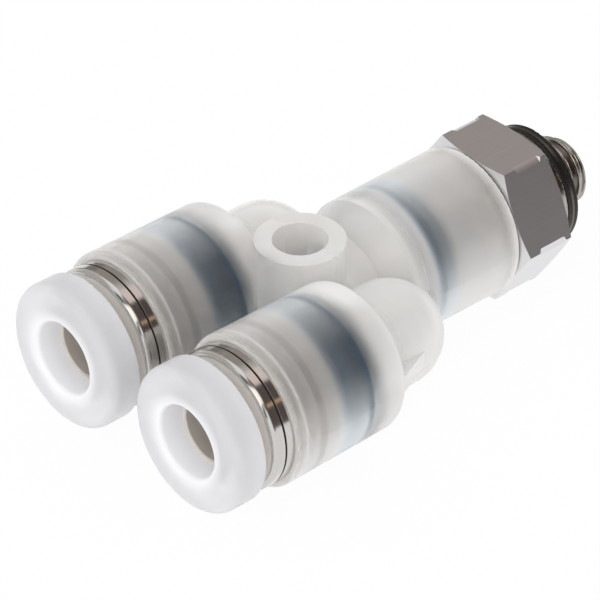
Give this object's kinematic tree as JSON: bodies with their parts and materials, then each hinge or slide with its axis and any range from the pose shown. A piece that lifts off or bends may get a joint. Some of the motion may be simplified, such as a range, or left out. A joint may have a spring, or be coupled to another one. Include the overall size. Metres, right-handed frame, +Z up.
{
  "type": "y push-in fitting",
  "caption": "Male Y push-in tube fitting: translucent body with side by side push-release tube ports, upright mounting hole and swivel hexagon stud with bonded gasket.",
  "frame": {"origin": "on the thread axis, where the gasket meets the port face", "axes": "+Y along the thread to its free end, +Z up along the mounting hole, tube ports open towards -Y side by side along X"},
  "size_m": [0.022, 0.038, 0.0104],
  "materials": {
    "body_plastic": "translucent natural polypropylene, smooth moulded",
    "ring_plastic": "milky polypropylene, smooth moulded",
    "support_plastic": "natural acetal, moulded",
    "stainless": "turned and polished stainless steel",
    "stud_metal": "turned stainless steel with fine tool marks",
    "seal_rubber": "smooth moulded rubber",
    "gasket_rubber": "bonded black rubber"
  },
  "bodies": {
    "housing": {"y_body": "body_plastic", "guide_ring_left": "stainless", "guide_ring_right": "stainless", "lock_claw_left": "stainless", "lock_claw_right": "stainless", "support_ring_left": "support_plastic", "support_ring_right": "support_plastic", "packing_left": "seal_rubber", "packing_right": "seal_rubber", "swivel_seal": "seal_rubber"},
    "push_left": {"release_ring_left": "ring_plastic", "collet_sleeve_left": "stainless"},
    "push_right": {"release_ring_right": "ring_plastic", "collet_sleeve_right": "stainless"},
    "swivel_stud": {"stud": "stud_metal", "gasket_core": "stainless", "gasket_rubber_front": "gasket_rubber", "gasket_rubber_rear": "gasket_rubber"}
  },
  "joints": [
    {"name": "push_left_slide", "type": "slide", "parent": "housing", "child": "push_left", "axis": [0, 1, 0], "range_m": [0, 0.00078], "stiffness_N_per_m": 500},
    {"name": "push_right_slide", "type": "slide", "parent": "housing", "child": "push_right", "axis": [0, 1, 0], "range_m": [0, 0.00078], "stiffness_N_per_m": 500},
    {"name": "stud_swivel", "type": "hinge", "parent": "housing", "child": "swivel_stud", "pos_m": [0, -0.01, 0], "axis": [0, 1, 0], "continuous": true}
  ]
}
